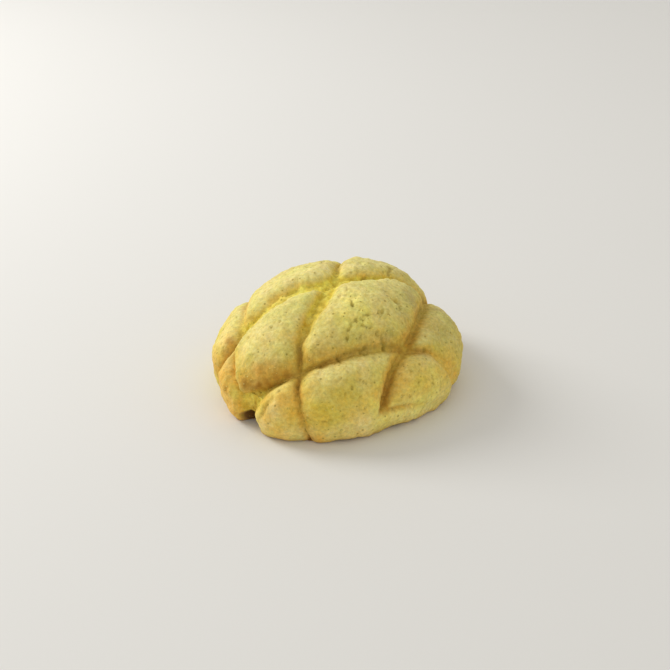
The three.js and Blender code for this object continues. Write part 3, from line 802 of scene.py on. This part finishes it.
def scored_crust_tree():
    """Geometry nodes: carves score lines, cracks and pits into the dome and roughens it."""
    tree, given, end = new_tree(
        "Scored crust", "GeometryNodeTree",
        [
            ("Geometry", "NodeSocketGeometry"),
            ("Score lines", "NodeSocketObject"),
            ("Score line count", "NodeSocketInt", len(SCORE_LINES), 0),
            length_input("Deepest score", DEEPEST * MM),
            length_input("Browned reach", BROWN_AND_SHADE_REACH),
            length_input("Raggedness", RAGGEDNESS),
            ("Cracks", "NodeSocketObject"),
            ("Crack count", "NodeSocketInt", len(CRACKS), 0),
            length_input("Gap length", 0.004),
            ("Pits", "NodeSocketObject"),
            ("Pit density", "NodeSocketFloat", PIT_DENSITY, 0.0),
            length_input("Smallest pit", 0.0005),
            length_input("Largest pit", 0.001),
            length_input("Lump size", 0.012),
            length_input("Lump height", LUMP_HEIGHT),
            length_input("Sand size", 0.0023),
            length_input("Sand height", SAND_HEIGHT),
            length_input("Crumble size", 0.0034),
            length_input("Crumble height", 0.0011),
            length_input("Crackle size", 0.007),
            length_input("Crackle depth", 0.0005),
            length_input("Bump size", 0.0055),
            length_input("Bump height", 0.0015),
            ("Evening", "NodeSocketInt", 8, 0),
            ("Seed", "NodeSocketInt", SEED, 0),
            ("Crust", "NodeSocketMaterial"),
        ],
        [("Geometry", "NodeSocketGeometry")])
    place = add(tree, "GeometryNodeInputPosition")
    top = rest(tree, read(tree, "underside"))

    # lines are read at a slightly shaken place, which makes them ragged, and cracks at a wilder one
    shaken = vectors(tree, "ADD", place, wander(
        tree, place, LINE_WANDER, 3.0, times(tree, given["Raggedness"], 4.0)))
    wilder = vectors(tree, "ADD", shaken, wander(
        tree, place, CRACK_WANDER, 2.0, CRACK_WANDER))

    crust = given["Geometry"]
    for name, value in (("pillow", 1.0), ("crack", 0.0), ("brown", 0.0), ("wide", 0.0)):
        crust = store(tree, crust, name, value)
    crust = for_each_line(
        tree, crust, geometry_of(tree, given["Score lines"]), given["Score line count"], shaken,
        carve_score_line(tree, given["Deepest score"], given["Browned reach"]))
    gaps = map_range(tree, noise(tree, place, given["Gap length"], 1.0), 0.38, 0.62, 0.25, 1.3)
    crust = for_each_line(
        tree, crust, geometry_of(tree, given["Cracks"]), given["Crack count"], wilder,
        carve_crack(tree, gaps))
    pit, pit_depth = pitted(tree, given, shaken, top)
    crust = store(tree, crust, "pit", times(tree, pit, top))
    crust = store(tree, crust, "crumble", crumbled(tree, given, place, shaken))

    # what goes in: score lines, the deeper of cracks and patches of fine crackle, and pits
    sunk = times(tree, given["Deepest score"], rest(tree, read(tree, "pillow")))
    seam = map_range(tree, cells(
        tree, shaken, given["Crackle size"], "DISTANCE_TO_EDGE"), 0.0, 0.2, 1.0, 0.0, True)
    patch = map_range(
        tree, noise(tree, place, CRACKLE_PATCH, 2.0), 0.52, 0.68, 0.0, 1.0, True)
    crackle = times(tree, given["Crackle depth"], times(tree, seam, patch))
    split = larger(tree, read(tree, "crack"), crackle)
    depth = plus(tree, sunk, plus(tree, split, pit_depth))

    # what comes out: lumps, sand and bumps, and the crumble of wide floors and craggy spots
    low = larger(tree, read(tree, "craggy"), map_range(
        tree, read(tree, "wide"), 0.55, 0.9, 0.0, 1.0, True))
    crumble = times(tree, given["Crumble height"], low, minus(tree, read(tree, "crumble"), 0.45))
    lumps = ripple(tree, given["Lump height"], place, given["Lump size"], 2.0)
    sand = ripple(tree, given["Sand height"], place, given["Sand size"], 1.0)
    bumps = ripple(tree, given["Bump height"], place, given["Bump size"], 1.0)
    rough = plus(tree, plus(tree, lumps, sand), plus(tree, crumble, bumps))
    height = times(tree, minus(tree, plus(tree, read(tree, "rise"), rough), depth), top)
    under = times(tree, rest(tree, top), times(
        tree, -UNDERSIDE_DEPTH, noise(tree, place, UNDERSIDE_DENTS, 3.0)))
    moved = add(tree, "ShaderNodeSeparateXYZ", vectors(tree, "ADD", place, scaled(
        tree, read(tree, "outward", "FLOAT_VECTOR"), plus(tree, height, under))))
    moved = add(tree, "ShaderNodeCombineXYZ", moved.outputs["X"], moved.outputs["Y"], larger(
        tree, moved.outputs["Z"], 0.0))
    crust = add(tree, "GeometryNodeSetPosition", crust, named={"Position": moved})

    # how much the crust looks up, evened out over its grain; the finish paints shade by it on the
    # sides and on the lower rims of the pillows
    slope = add(tree, "ShaderNodeSeparateXYZ", add(tree, "GeometryNodeInputNormal"))
    even = add(tree, "GeometryNodeBlurAttribute", data_type="FLOAT", named={
        "Value": slope.outputs["Z"], "Iterations": given["Evening"]})
    crust = store(tree, crust, "upward", even)
    finished(tree, add(tree, "GeometryNodeSetShadeSmooth", crust), given["Crust"], end)
    return tree


def crumb_tree():
    """Geometry nodes: small crumbs of the crust, scattered over it and turned at random."""
    tree, given, end = new_tree(
        "Crumbs", "GeometryNodeTree",
        [
            ("Geometry", "NodeSocketGeometry"),
            ("Density", "NodeSocketFloat", CRUMB_DENSITY, 0.0),
            length_input("Smallest", CRUMB_SIZE / 2),
            length_input("Largest", CRUMB_SIZE),
            ("Seed", "NodeSocketInt", SEED, 0),
            ("Material", "NodeSocketMaterial"),
        ],
        [("Geometry", "NodeSocketGeometry")])
    top = rest(tree, read(tree, "underside"))
    height = add(tree, "ShaderNodeSeparateXYZ", add(tree, "GeometryNodeInputPosition"))
    clear = add(tree, "FunctionNodeCompare", height.outputs["Z"], LOWEST_CRUMB,
                data_type="FLOAT", operation="GREATER_THAN")
    open_crust = maths(tree, "LESS_THAN", read(tree, "notch_shade"), 0.2)
    lit = maths(tree, "GREATER_THAN", larger(
        tree, read(tree, "pillow"), read(tree, "wide")), 0.7)
    bare = times(tree, times(tree, top, clear), times(tree, open_crust, lit))
    points = scatter(tree, given["Geometry"], bare, given["Density"], given["Seed"]).outputs
    crumb = add(tree, "GeometryNodeMeshIcoSphere", 1.0, CRUMB_SUBDIVISIONS)
    size = between(tree, given["Smallest"], given["Largest"], given["Seed"])
    shape = between(tree, FLATTEST_CRUMB, ROUNDEST_CRUMB, given["Seed"], "FLOAT_VECTOR")
    grains = add(
        tree, "GeometryNodeInstanceOnPoints", points["Points"],
        named={"Instance": crumb.outputs["Mesh"], "Rotation": points["Rotation"],
               "Scale": scaled(tree, shape, size)})
    finished(tree, grains, given["Material"], end)
    return tree


def grown(name, start, tree, inputs):
    """Runs a geometry nodes tree on an object and gives what comes out as a plain mesh object."""
    modifier = start.modifiers.new(name, "NODES")
    modifier.node_group = tree
    for item in tree.interface.items_tree:
        if item.item_type == "SOCKET" and item.in_out == "INPUT" and item.name in inputs:
            modifier[item.identifier] = inputs[item.name]
    bpy.context.view_layer.update()
    evaluated = start.evaluated_get(bpy.context.evaluated_depsgraph_get())
    mesh = bpy.data.meshes.new_from_object(evaluated)
    mesh.name = name
    start.modifiers.remove(modifier)
    made = bpy.data.objects.new(name, mesh)
    bpy.context.scene.collection.objects.link(made)
    return made


def fit_to_cad(piece):
    """Brings a piece's box just inside the box of the CAD solid that it stands for."""
    low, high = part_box("bun")
    points = np.empty(len(piece.data.vertices) * 3, np.float32)
    piece.data.vertices.foreach_get("co", points)
    points = points.reshape(-1, 3).astype(float)
    margin = BOX_MARGIN * MM
    low = np.array(low) + (margin, margin, 0)
    high = np.array(high) - margin
    own_low, own_high = points.min(axis=0), points.max(axis=0)
    points = low + (points - own_low) * (high - low) / (own_high - own_low)
    piece.data.vertices.foreach_set("co", points.astype(np.float32).ravel())
    piece.data.update()


def drop(*helpers):
    """Deletes helper objects and their meshes."""
    for helper in helpers:
        mesh = helper.data
        bpy.data.objects.remove(helper)
        bpy.data.meshes.remove(mesh)


# ---------------------------------------------------------------- finishes

def new_material(name):
    material = bpy.data.materials.new(name)
    material.use_nodes = True
    tree = material.node_tree
    place = add(tree, "ShaderNodeTexCoord").outputs["Object"]
    return material, tree, tree.nodes["Principled BSDF"], place


def rgba(value):
    """A plain colour with full alpha; nodes and sockets stay as they are."""
    made = isinstance(value, (bpy.types.Node, bpy.types.NodeSocket))
    return value if made else (*value[:3], 1.0)


def blend(tree, share, first, second, mode="MIX"):
    """Colour between first and second by share."""
    return add(tree, "ShaderNodeMix", data_type="RGBA", blend_type=mode, named={
        "Factor": share, "A": rgba(first), "B": rgba(second)}).outputs["Result"]


def tinted(tree, shade, share, tints, strength=1.0):
    """A colour multiplied by a factor between two tints."""
    return blend(tree, strength, shade, blend(tree, share, *tints), "MULTIPLY")


def cookie_mottle_group():
    """Shader group: soft blotches, sandy grain, tint and dark specks of the crust, as masks."""
    tree, given, end = new_tree(
        "Cookie mottle", "ShaderNodeTree",
        [
            ("Place", "NodeSocketVector"),
            ("Blotch size", "NodeSocketFloat", 0.012),
            ("Grain size", "NodeSocketFloat", 0.0017),
            ("Tint size", "NodeSocketFloat", 0.0014),
            ("Speck size", "NodeSocketFloat", 0.0026),
            ("Speck share", "NodeSocketFloat", 0.38),
        ],
        [(title, "NodeSocketFloat") for title in ("Blotches", "Grain", "Tint", "Specks")])
    blotches = noise(tree, given["Place"], given["Blotch size"], 3.0, 0.6)
    grain = noise(tree, given["Place"], given["Grain size"], 3.0, 0.65)
    tint = noise(tree, given["Place"], given["Tint size"], 2.0, 0.6).outputs["Color"]
    tint = add(tree, "ShaderNodeSeparateColor", tint).outputs["Green"]
    dots = cells(tree, given["Place"], given["Speck size"]).outputs
    lot = add(tree, "ShaderNodeSeparateColor", dots["Color"]).outputs
    chosen = maths(tree, "LESS_THAN", lot["Red"], given["Speck share"])
    width = plus(tree, times(tree, lot["Green"], 0.2), 0.12)
    speck = map_range(tree, over(tree, dots["Distance"], width), 0.4, 1.0, 1.0, 0.0, True)
    plug(tree, map_range(tree, blotches, 0.35, 0.68), end.inputs["Blotches"])
    plug(tree, map_range(tree, grain, 0.3, 0.7), end.inputs["Grain"])
    plug(tree, map_range(tree, tint, 0.3, 0.7), end.inputs["Tint"])
    plug(tree, times(tree, chosen, speck), end.inputs["Specks"])
    arrange(tree)
    return tree


def sandy_height_group():
    """Shader group: height of the sugary grain of the crust."""
    tree, given, end = new_tree(
        "Sandy height", "ShaderNodeTree",
        [("Place", "NodeSocketVector"), ("Grain size", "NodeSocketFloat", 0.0006)],
        [("Height", "NodeSocketFloat")])
    fine = noise(tree, given["Place"], given["Grain size"], 3.0, 0.65)
    dots = cells(tree, given["Place"], times(tree, given["Grain size"], 1.6))
    grains = rest(tree, dots.outputs["Distance"])
    height = plus(tree, times(tree, fine, 0.7), times(tree, grains, 0.3))
    plug(tree, height, end.inputs["Height"])
    arrange(tree)
    return tree


def group_node(tree, group, **values):
    node = tree.nodes.new("ShaderNodeGroup")
    node.node_tree = group
    for name, value in values.items():
        plug(tree, value, node.inputs[name.replace("_", " ")])
    return node.outputs


def roughened(tree, shader, place, sandy, strength, distance):
    """Puts the sugary grain on a shader as fine bumps."""
    bump = add(tree, "ShaderNodeBump", named={
        "Strength": strength, "Distance": distance,
        "Height": group_node(tree, sandy, Place=place)["Height"]})
    plug(tree, bump, shader.inputs["Normal"])


def crust_material(colours, mottle, sandy):
    """Baked cookie crust: pale yellow, with toast, browning and painted shade at rims and score
    lines.
    """
    material, tree, shader, place = new_material("Baked cookie crust")
    marks = group_node(tree, mottle, Place=place)
    mark = {
        name: add(tree, "ShaderNodeAttribute", attribute_name=name).outputs["Fac"]
        for name in ("pillow", "upward", "wide", "crumble", "brown", "baked", "toast", "dull_and_shade",
                     "pale", "sunny", "golden", "crack", "pit", "notch_shade", "underside")}
    patchy = map_range(tree, noise(tree, place, PATCH_SIZE, 3.0), 0.3, 0.7, 0.55, 1.1)

    # pale on top and deeper yellow on the sides, which is partly painted shade on the sides that
    # turn away from the light above; the dull spots add painted shade and the pale and sunny spots
    # painted light; warm where the oven caught it
    base = blend(tree, marks["Blotches"], colours.lemon, colours.straw)
    side = maths(
        tree, "MULTIPLY", map_range(tree, mark["upward"], 0.85, 0.45), patchy, clamp=True)
    base = blend(tree, side, base, colours.side)
    for name, shade in (("dull_and_shade", colours.dull_and_shade), ("pale", colours.pale),
                        ("sunny", colours.sunny), ("golden", colours.crumbly)):
        base = blend(tree, mark[name], base, shade)
    warm = maths(tree, "MULTIPLY", mark["toast"], patchy, clamp=True)
    base = blend(tree, warm, base, colours.toasted)

    # rims of the pillows: a toasted tone, partly painted shade, stronger the more a rim faces down
    downward_shade = map_range(tree, mark["upward"], 0.8, 0.4, 0.1, 0.8, True)
    rim = times(
        tree, map_range(tree, mark["pillow"], 0.97, 0.55, 0.0, 1.0, True), patchy,
        map_range(tree, mark["dull_and_shade"], 0.0, 1.0, 1.0, 0.25))
    rim_toast_and_shade = blend(
        tree, maths(tree, "MULTIPLY", rim, downward_shade, clamp=True), base, colours.toasted)

    # floors between them, crumbly where they are wide, and the browning, which is partly painted
    # shade in the creases and under the pillows
    # the low gaps between the grits take the darker crumbly colour, partly painted shade
    crumbly = blend(
        tree, map_range(tree, mark["crumble"], 0.1, 0.5), colours.crumbly, colours.golden)
    # the sunny spots also lift the floors with painted light
    crumbly = blend(tree, mark["sunny"], crumbly, colours.sunny)
    crumbly = blend(tree, times(tree, warm, 0.5), crumbly, colours.toasted)
    wide = map_range(tree, mark["wide"], 0.35, 0.8, 0.0, 1.0, True)
    ochre = blend(tree, times(tree, mark["dull_and_shade"], 0.9), colours.ochre, colours.dull_and_shade)
    floor = map_range(tree, mark["pillow"], 0.7, 0.4, 0.0, 0.9, True)
    golden = blend(tree, floor, rim_toast_and_shade, blend(tree, wide, ochre, crumbly))
    # the undersides of the pillows: browning and painted shade
    baked = times(
        tree, mark["baked"], map_range(tree, mark["pillow"], 0.1, 0.3, 0.0, 1.0, True))
    deep = maths(tree, "MULTIPLY", larger(tree, mark["brown"], baked), patchy, clamp=True)
    shade = blend(tree, deep, golden, colours.browned)

    # foot, painted shade inside the notch, and underside, then pits, cracks and specks
    height = add(tree, "ShaderNodeSeparateXYZ", place).outputs["Z"]
    shade = blend(
        tree, map_range(tree, height, FOOT_LOW, FOOT_HIGH, 0.5, 0.0, True), shade, colours.foot)
    shade = blend(tree, mark["notch_shade"], shade, colours.notch_shade)
    under = blend(tree, noise(tree, place, UNDERSIDE_BLOTCH, 4.0), colours.foot, colours.base)
    shade = blend(tree, mark["underside"], shade, under)
    # cracks and pits darkened with the speck colour, partly painted shade in these recesses
    crack = map_range(tree, mark["crack"], 0.00025, 0.0009, 0.0, 0.45)
    shade = blend(
        tree, larger(tree, times(tree, mark["pit"], 0.6), crack), shade, colours.speck)
    shade = blend(tree, times(tree, marks["Specks"], 0.7), shade, colours.speck)
    shade = tinted(tree, shade, marks["Grain"], GRAIN_SHADES, 0.6)
    shade = tinted(tree, shade, marks["Tint"], GRAIN_TINTS)
    shade = tinted(tree, shade, map_range(
        tree, noise(tree, place, BROAD_SIZE, 2.0, 0.6), 0.35, 0.65), BROAD_TINTS)
    plug(tree, shade, shader.inputs["Base Color"])

    rough = map_range(tree, marks["Grain"], 0.0, 1.0, 0.78, 0.95)
    plug(tree, rough, shader.inputs["Roughness"])
    shader.inputs["Specular IOR Level"].default_value = 0.15
    sheen = map_range(tree, mark["pillow"], 0.55, 0.95, 0.0, 0.12)
    plug(tree, sheen, shader.inputs["Sheen Weight"])
    shader.inputs["Sheen Roughness"].default_value = 0.6
    shader.inputs["Sheen Tint"].default_value = (1.0, 0.97, 0.85, 1.0)
    roughened(tree, shader, place, sandy, 0.6, 0.0004)
    arrange(tree)
    return material


def crumb_material(colours, mottle, sandy):
    """Loose grains of sugar and crust, a little paler than the crust they lie on."""
    material, tree, shader, place = new_material("Sugary crumb")
    marks = group_node(tree, mottle, Place=place, Blotch_size=0.0015)
    shade = blend(tree, marks["Blotches"], colours.crumb, colours.straw)
    plug(tree, shade, shader.inputs["Base Color"])
    shader.inputs["Roughness"].default_value = 0.7
    shader.inputs["Specular IOR Level"].default_value = 0.4
    roughened(tree, shader, place, sandy, 0.4, 0.0002)
    arrange(tree)
    return material


def floor_material(shade):
    """Plain floor with a hardly visible unevenness of tone."""
    material, tree, shader, place = new_material("Pale floor")
    darker = [channel * 0.97 for channel in shade]
    faint = blend(tree, noise(tree, place, 0.4, 2.0), shade, darker)
    plug(tree, faint, shader.inputs["Base Color"])
    shader.inputs["Roughness"].default_value = 0.6
    shader.inputs["Specular IOR Level"].default_value = 0.2
    arrange(tree)
    return material


# ---------------------------------------------------------------- settings

def shade_property(name, description, default):
    return FloatVectorProperty(
        name=name, description=description, subtype="COLOR", size=3, min=0, max=1, default=default)


def number_property(name, description, default, **more):
    return FloatProperty(name=name, description=description, default=default, min=0, **more)


class MelonPanSizes(bpy.types.PropertyGroup):
    """Sizes of the crust's relief and of the crumbs on it."""
    brown_and_shade_reach: number_property(
        "Browned reach", "How far browning spreads beside a score line", BROWN_AND_SHADE_REACH,
        unit="LENGTH")
    raggedness: number_property(
        "Raggedness", "How far the edges of lines and cracks wander", RAGGEDNESS, unit="LENGTH")
    lump_height: number_property(
        "Lump height", "Height of the crust's soft lumps", LUMP_HEIGHT, unit="LENGTH")
    sand_height: number_property(
        "Sand height", "Height of the sandy grain that is real relief", SAND_HEIGHT,
        unit="LENGTH")
    pit_density: number_property(
        "Pit density", "Scattered pits for each square metre of crust", PIT_DENSITY)
    crumb_density: number_property(
        "Crumb density", "Crumbs for each square metre of crust", CRUMB_DENSITY)
    crumb_size: number_property(
        "Crumb size", "Radius of the largest crumbs", CRUMB_SIZE, unit="LENGTH")
    seed: IntProperty(
        name="Seed", description="Seed of everything scattered", default=SEED, min=0)


class MelonPanColours(bpy.types.PropertyGroup):
    """Colours of the bun."""
    lemon: shade_property("Lemon", "Pale yellow of the crust", (0.79, 0.725, 0.235))
    straw: shade_property("Straw", "Duller yellow of its blotches", (0.735, 0.63, 0.205))
    # deeper yellow of the sides, partly painted shade on surfaces that face away from up
    side: shade_property("Side", "Deeper yellow of the sides", (0.74, 0.58, 0.095))
    # warm tone of toasted pillows and of the pillows' rims, where it is partly painted shade
    toasted: shade_property("Toasted", "Warm tone of rims and toasted pillows", (0.82, 0.50, 0.08))
    # palest pillows and hems, partly painted light
    pale: shade_property("Pale", "Palest pillows and hems", (0.92, 0.82, 0.34))
    # brighter, deeper yellow of the sunny spots, partly painted light
    sunny: shade_property("Sunny", "Brighter, deeper yellow patches", (0.93, 0.84, 0.19))
    # darker, duller tone of the dull spots, partly painted shade
    dull_and_shade: shade_property("Dull", "Drier, duller pillows", (0.50, 0.43, 0.13))
    golden: shade_property("Golden", "Floors of the wide score lines", (0.84, 0.73, 0.12))
    # darker gaps between the crumbs, partly painted shade; also the tone of the golden spots
    crumbly: shade_property("Crumbly", "Gaps between the crumbs of the floors", (0.70, 0.54, 0.06))
    ochre: shade_property("Ochre", "Floors of the narrow score lines", (0.65, 0.49, 0.09))
    # browned bottoms of the score lines, partly painted shade
    browned: shade_property("Browned", "Baked bottoms of the score lines", (0.40, 0.19, 0.02))
    foot: shade_property("Foot", "Lower edge of the crust", (0.58, 0.34, 0.08))
    base: shade_property("Base", "Baked underside", (0.26, 0.12, 0.03))
    # painted shade inside the open notch, darker than the baked base
    notch_shade: shade_property("Hollow", "Inside of the open notch", (0.14, 0.065, 0.01))
    # dark specks, and the darkening of pits and cracks, which is partly painted shade
    speck: shade_property("Speck", "Pits, cracks and specks", (0.32, 0.24, 0.03))
    crumb: shade_property("Crumb", "Sugary crumbs", (0.76, 0.62, 0.14))


class MelonPanStage(bpy.types.PropertyGroup):
    """Floor and light round the bun."""
    floor: shade_property("Floor", "Colour of the floor", (0.80, 0.79, 0.76))
    key_power: number_property(
        "Key light", "Power of the large light at the upper left", 8.6, unit="POWER")
    fill_power: number_property(
        "Fill light", "Power of the soft light from the front", 0.5, unit="POWER")
    daylight: number_property("Room light", "Brightness of the even light all round", 0.65)


class MelonPanSettings(bpy.types.PropertyGroup):
    """All settings of the melon pan."""
    sizes: PointerProperty(type=MelonPanSizes)
    colours: PointerProperty(type=MelonPanColours)
    stage: PointerProperty(type=MelonPanStage)
    body: StringProperty(name="Body", description="Body that the pieces ride on", default="root")


# ---------------------------------------------------------------- operators

class MELONPAN_OT_bun(bpy.types.Operator):
    """Bake the bun: dome, scored crust, cracks and pits"""
    bl_idname = "melonpan.bun"
    bl_label = "Bake the bun"
    bl_options = {"REGISTER", "UNDO"}

    def execute(self, context):
        settings = context.scene.melon_pan
        sizes = settings.sizes
        mottle, sandy = cookie_mottle_group(), sandy_height_group()
        crust = crust_material(settings.colours, mottle, sandy)
        dome = plain_dome()
        scores = drawn_lines("score_lines", SCORE_LINES.values(), LINE_STEPS)
        ways = [[(u, v, depth, width, 0, 0) for u, v in way] for depth, width, *way in CRACKS]
        cracks = drawn_lines("cracks", ways, CRACK_STEPS)
        pits = drawn_pits()
        bun = grown("baked_bun", dome, scored_crust_tree(), {
            "Score lines": scores, "Score line count": len(SCORE_LINES),
            "Browned reach": sizes.brown_and_shade_reach, "Raggedness": sizes.raggedness,
            "Cracks": cracks, "Crack count": len(CRACKS), "Pits": pits,
            "Pit density": sizes.pit_density, "Lump height": sizes.lump_height,
            "Sand height": sizes.sand_height, "Seed": sizes.seed, "Crust": crust})
        drop(dome, scores, cracks, pits)
        fit_to_cad(bun)
        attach(bun, settings.body)
        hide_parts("bun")
        return {"FINISHED"}


class MELONPAN_OT_crumbs(bpy.types.Operator):
    """Scatter sugary crumbs over the baked bun"""
    bl_idname = "melonpan.crumbs"
    bl_label = "Scatter the crumbs"
    bl_options = {"REGISTER", "UNDO"}

    def execute(self, context):
        settings = context.scene.melon_pan
        sizes = settings.sizes
        material = crumb_material(
            settings.colours, bpy.data.node_groups["Cookie mottle"],
            bpy.data.node_groups["Sandy height"])
        crumbs = grown("crust_crumbs", bpy.data.objects["baked_bun"], crumb_tree(), {
            "Density": sizes.crumb_density, "Smallest": sizes.crumb_size / 2,
            "Largest": sizes.crumb_size, "Seed": sizes.seed, "Material": material})
        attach(crumbs, settings.body)
        return {"FINISHED"}


# Floor and lights, m: where a light is, where it looks and how wide it is
FLOOR_REACH = 4.0
KEY_PLACE, KEY_AIM, KEY_WIDTH = (-0.92, 0.48, 0.66), (0, 0, 0.02), 0.6
FILL_PLACE, FILL_AIM, FILL_WIDTH = (0.35, -1.1, 0.7), (0, 0, 0.03), 1.0
ROOM_SHADE = (1, 0.98, 0.94, 1)

# The camera stands this far from the bun's middle on the ground, in metres, and looks
# straight along +Y, tipped down and turned a little about its own axis
CAMERA_PLACE = (-0.0012, -0.5859, 0.3357)
CAMERA_TIP = math.radians(28.05)
CAMERA_ROLL = math.radians(-0.68)
PICTURE_WIDTH = 670
FOCAL_PIXELS = 1400
SENSOR_WIDTH = 36.0


def make_camera():
    data = bpy.data.cameras.new("camera")
    data.sensor_width = SENSOR_WIDTH
    data.lens = SENSOR_WIDTH * FOCAL_PIXELS / PICTURE_WIDTH
    data.clip_start = 0.01
    camera = bpy.data.objects.new("camera", data)
    camera.location = CAMERA_PLACE
    tip = Euler((math.pi / 2 - CAMERA_TIP, 0, 0)).to_matrix()
    roll = Euler((0, 0, CAMERA_ROLL)).to_matrix()
    camera.rotation_euler = (tip @ roll).to_euler()
    bpy.context.scene.collection.objects.link(camera)
    bpy.context.scene.camera = camera


def area_light(name, place, aim, width, power):
    data = bpy.data.lights.new(name, "AREA")
    data.shape = "DISK"
    data.size = width
    data.energy = power
    light = bpy.data.objects.new(name, data)
    light.location = place
    light.rotation_euler = (Vector(aim) - Vector(place)).to_track_quat("-Z", "Y").to_euler()
    bpy.context.scene.collection.objects.link(light)


class MELONPAN_OT_stage(bpy.types.Operator):
    """Set up the floor, the soft light and the camera"""
    bl_idname = "melonpan.stage"
    bl_label = "Set the stage"
    bl_options = {"REGISTER", "UNDO"}

    def execute(self, context):
        stage = context.scene.melon_pan.stage
        corners = np.array([(-1, -1, 0), (1, -1, 0), (1, 1, 0), (-1, 1, 0)])
        floor = mesh_object("floor", corners * FLOOR_REACH / MM, faces=[(0, 1, 2, 3)])
        floor.data.materials.append(floor_material(stage.floor))
        area_light("key", KEY_PLACE, KEY_AIM, KEY_WIDTH, stage.key_power)
        area_light("fill", FILL_PLACE, FILL_AIM, FILL_WIDTH, stage.fill_power)
        world = bpy.data.worlds.new("room")
        world.use_nodes = True
        background = world.node_tree.nodes["Background"].inputs
        background["Strength"].default_value = stage.daylight
        background["Color"].default_value = ROOM_SHADE
        context.scene.world = world
        context.scene.view_settings.view_transform = "Standard"
        make_camera()
        return {"FINISHED"}


class MELONPAN_PT_panel(bpy.types.Panel):
    """Sidebar panel of the melon pan"""
    bl_idname = "MELONPAN_PT_panel"
    bl_label = "Melon Pan"
    bl_space_type = "VIEW_3D"
    bl_region_type = "UI"
    bl_category = "Melon Pan"

    def draw(self, context):
        settings = context.scene.melon_pan
        for group, operator in (
                (settings.sizes, "melonpan.bun"), (settings.colours, "melonpan.crumbs"),
                (settings.stage, "melonpan.stage")):
            box = self.layout.box()
            for name in group.bl_rna.properties.keys():
                if name not in {"rna_type", "name"}:
                    box.prop(group, name)
            box.operator(operator)


CLASSES = (
    MelonPanSizes, MelonPanColours, MelonPanStage, MelonPanSettings,
    MELONPAN_OT_bun, MELONPAN_OT_crumbs, MELONPAN_OT_stage, MELONPAN_PT_panel,
)


def register():
    for cls in CLASSES:
        bpy.utils.register_class(cls)
    bpy.types.Scene.melon_pan = PointerProperty(type=MelonPanSettings)


def unregister():
    del bpy.types.Scene.melon_pan
    for cls in reversed(CLASSES):
        bpy.utils.unregister_class(cls)


def main():
    register()
    bpy.ops.melonpan.bun()
    bpy.ops.melonpan.crumbs()
    bpy.ops.melonpan.stage()


if __name__ == "__main__":
    main()
